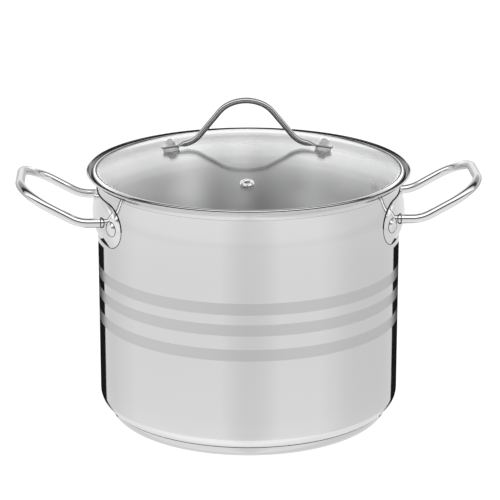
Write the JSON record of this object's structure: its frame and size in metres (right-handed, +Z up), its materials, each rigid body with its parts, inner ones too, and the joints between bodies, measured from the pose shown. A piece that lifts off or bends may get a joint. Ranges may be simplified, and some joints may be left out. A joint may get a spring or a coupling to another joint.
{
  "type": "water bath canner",
  "caption": "Tall stainless pot with rod side handles on dished plates, capsule base, domed glass lid with arched wire handle and steam vent, and a folding wire jar rack inside.",
  "frame": {"origin": "centre of the underside, on the surface that the pot stands on", "axes": "+Z up, +X along the line through the two pot handles, -Y towards the lid's steam vent"},
  "size_m": [0.4284, 0.2996, 0.303],
  "materials": {
    "pot_steel": "bright polished stainless steel with three satin bands round the wall",
    "base_steel": "polished stainless steel, fine turned lines under the base",
    "core_aluminium": "plain aluminium, hidden in the base",
    "rod_steel": "mirror polished stainless rod",
    "plate_steel": "polished stainless pressing",
    "rivet_steel": "polished stainless rivet",
    "lid_glass": "clear tempered glass",
    "band_steel": "bright rolled stainless band",
    "lid_handle_steel": "bright polished stainless wire",
    "fixing_steel": "bright plated fixings",
    "silicone": "translucent grey silicone",
    "rack_wire": "bright chromed wire"
  },
  "bodies": {
    "pot": {"pot_shell": "pot_steel", "base_core": "core_aluminium", "base_cap": "base_steel", "left_handle": "rod_steel", "right_handle": "rod_steel", "left_handle_bracket": "plate_steel", "right_handle_bracket": "plate_steel", "left_bracket_rivets": "rivet_steel", "right_bracket_rivets": "rivet_steel"},
    "lid": {"lid_glass": "lid_glass", "lid_rim_band": "band_steel", "lid_handle": "lid_handle_steel", "lid_cap_nuts": "fixing_steel", "lid_screws": "fixing_steel", "lid_washers": "fixing_steel", "lid_upper_gaskets": "silicone", "lid_lower_gaskets": "silicone", "vent_eyelet": "fixing_steel", "vent_gaskets": "silicone"},
    "rack": {"rack_outer_ring": "rack_wire", "rack_inner_ring": "rack_wire", "rack_cross_wires": "rack_wire", "rack_pivot_wires": "rack_wire", "rack_feet": "rack_wire"},
    "rack_handle_left": {"rack_handle_left": "rack_wire"},
    "rack_handle_right": {"rack_handle_right": "rack_wire"}
  },
  "joints": [
    {"name": "lid_lift", "type": "slide", "parent": "pot", "child": "lid", "axis": [0, 0, 1], "range_m": [0, 0.25]},
    {"name": "rack_lift", "type": "slide", "parent": "pot", "child": "rack", "axis": [0, 0, 1], "range_m": [0, 0.11]},
    {"name": "rack_handle_left_fold", "type": "hinge", "parent": "rack", "child": "rack_handle_left", "pos_m": [-0.09, 0, 0.038], "axis": [0, -1, 0], "range_deg": [0, 100]},
    {"name": "rack_handle_right_fold", "type": "hinge", "parent": "rack", "child": "rack_handle_right", "pos_m": [0.09, 0, 0.038], "axis": [0, 1, 0], "range_deg": [0, 100]}
  ]
}
